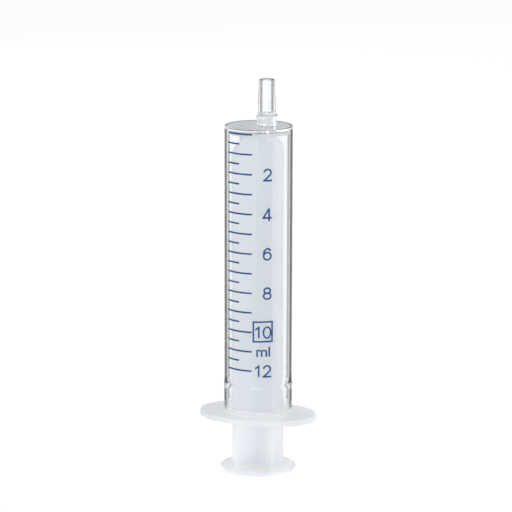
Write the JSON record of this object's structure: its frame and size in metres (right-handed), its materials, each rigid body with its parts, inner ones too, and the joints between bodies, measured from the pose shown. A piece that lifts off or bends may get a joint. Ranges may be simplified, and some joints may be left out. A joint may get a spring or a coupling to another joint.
{
  "type": "oral syringe",
  "caption": "Clear slip-tip dosing syringe standing on its thumb rest: graduated barrel with an oval finger flange and an off-centre tip, and a cross-ribbed sliding plunger.",
  "frame": {"origin": "centre of the thumb rest's underside, on the bore's axis, with the plunger fully pressed in", "axes": "+Z along the bore and out of the tip, +X along the flange's long axis towards the side that the tip is offset to, -Y towards the printed scale"},
  "size_m": [0.0306, 0.0198, 0.1023],
  "materials": {
    "clear_plastic": "clear polypropylene, glossy, with a hazy flange",
    "milky_plastic": "translucent natural polyethylene, satin",
    "blue_ink": "screen-printed ink film"
  },
  "bodies": {
    "barrel": {"barrel": "clear_plastic", "whole_ml_lines": "blue_ink", "half_ml_lines": "blue_ink", "numeral_2": "blue_ink", "numeral_4": "blue_ink", "numeral_6": "blue_ink", "numeral_8": "blue_ink", "numeral_10": "blue_ink", "numeral_12": "blue_ink", "capacity_frame": "blue_ink", "unit_ml": "blue_ink"},
    "plunger": {"plunger": "milky_plastic"}
  },
  "joints": [
    {"name": "plunger_slide", "type": "slide", "parent": "barrel", "child": "plunger", "axis": [0, 0, -1], "range_m": [0, 0.0632]}
  ]
}
